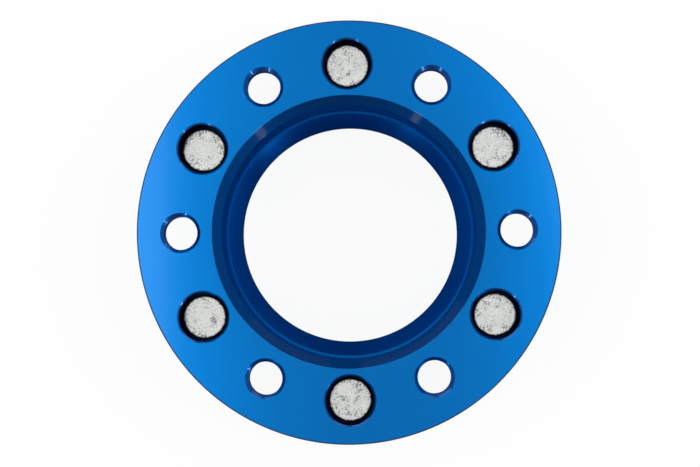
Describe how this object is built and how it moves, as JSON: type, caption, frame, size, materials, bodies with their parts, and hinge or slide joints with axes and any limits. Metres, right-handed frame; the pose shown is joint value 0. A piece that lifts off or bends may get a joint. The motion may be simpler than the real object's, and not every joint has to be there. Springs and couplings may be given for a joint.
{
  "type": "wheel spacer",
  "caption": "Blue anodised ring that bolts between a hub and a wheel, with clearance holes, deep nut wells and pressed-in wheel studs on one bolt circle.",
  "frame": {"origin": "centre of the six studs in the plane of the wheel face, where the ring's axis meets that plane", "axes": "+Z along the ring's axis, through the ring towards the hub face; the studs' threads are at negative Z; +X through the centre of a hub bolt hole"},
  "size_m": [0.176, 0.176, 0.0638],
  "materials": {
    "anodised_ring": "satin blue anodised, fine turned lines",
    "stud_steel": "matte grey plated, cold-forged"
  },
  "bodies": {
    "root": {"spacer_body": "anodised_ring", "wheel_stud_1": "stud_steel", "wheel_stud_2": "stud_steel", "wheel_stud_3": "stud_steel", "wheel_stud_4": "stud_steel", "wheel_stud_5": "stud_steel", "wheel_stud_6": "stud_steel"}
  },
  "joints": []
}
